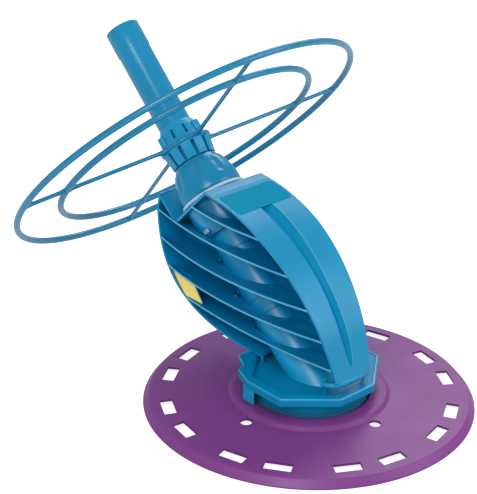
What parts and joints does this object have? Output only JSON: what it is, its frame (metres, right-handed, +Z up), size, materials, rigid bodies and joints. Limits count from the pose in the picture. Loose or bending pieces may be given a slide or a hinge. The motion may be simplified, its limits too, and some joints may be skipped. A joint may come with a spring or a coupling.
{
  "type": "pool cleaner",
  "caption": "Suction pool cleaner: leaning tube body with finned bumper halves on a flexible disc, swivelling extension pipe and free-spinning deflector wheel.",
  "frame": {"origin": "centre of the suction inlet's mouth, at floor level under the footpad", "axes": "+Z up; the cleaner faces -Y and its tube leans back towards +Y; X is across it"},
  "size_m": [0.4588, 0.5783, 0.4206],
  "materials": {
    "blue_plastic": "glossy moulded plastic",
    "purple_disc": "soft satin moulding",
    "pad_rubber": "satin",
    "inner_plastic": "satin",
    "black_rubber": "matte",
    "steel": "brushed",
    "teal_label": "satin film",
    "yellow_label": "satin film"
  },
  "bodies": {
    "cleaner": {"footpad": "pad_rubber", "foot_base": "blue_plastic", "main_tube": "blue_plastic", "shell_left": "blue_plastic", "shell_right": "blue_plastic", "shell_screws": "steel", "lock_collar": "blue_plastic", "release_spring_left": "steel", "release_spring_right": "steel", "cassette_outer": "inner_plastic", "cassette_inner": "inner_plastic", "diaphragm": "black_rubber", "diaphragm_ring": "inner_plastic", "inner_pipe": "inner_plastic", "compression_ring": "inner_plastic", "pipe_seal": "black_rubber", "front_label": "teal_label", "side_label": "yellow_label"},
    "disc": {"disc": "purple_disc"},
    "hand_nut": {"hand_nut": "blue_plastic", "swivel_washer": "black_rubber"},
    "outer_pipe": {"outer_pipe": "blue_plastic"},
    "deflector_wheel": {"wheel_hub_lower": "blue_plastic", "wheel_hub_upper": "blue_plastic", "wheel_centre_ring": "blue_plastic", "wheel_spokes": "blue_plastic", "wheel_inner_ring": "blue_plastic", "wheel_outer_ring": "blue_plastic"},
    "button_left": {"release_button_left": "blue_plastic"},
    "button_right": {"release_button_right": "blue_plastic"}
  },
  "joints": [
    {"name": "disc_spin", "type": "hinge", "parent": "cleaner", "child": "disc", "pos_m": [0, 0, 0.0165], "axis": [0, 0, 1], "continuous": true},
    {"name": "hand_nut_turn", "type": "hinge", "parent": "cleaner", "child": "hand_nut", "pos_m": [0, 0, 0.0404], "axis": [0, 0.7254, 0.6884], "range_deg": [0, 90]},
    {"name": "pipe_swivel", "type": "hinge", "parent": "cleaner", "child": "outer_pipe", "pos_m": [0, 0, 0.0404], "axis": [0, 0.7254, 0.6884], "continuous": true},
    {"name": "wheel_spin", "type": "hinge", "parent": "outer_pipe", "child": "deflector_wheel", "pos_m": [0, 0, 0.0404], "axis": [0, 0.7254, 0.6884], "continuous": true},
    {"name": "press_button_left", "type": "slide", "parent": "cleaner", "child": "button_left", "axis": [1, 0, 0], "range_m": [0, 0.002], "stiffness_N_per_m": 400, "springref_m": -0.002, "deforming": ["release_spring_left"]},
    {"name": "press_button_right", "type": "slide", "parent": "cleaner", "child": "button_right", "axis": [-1, 0, 0], "range_m": [0, 0.002], "stiffness_N_per_m": 400, "springref_m": -0.002, "deforming": ["release_spring_right"]}
  ]
}
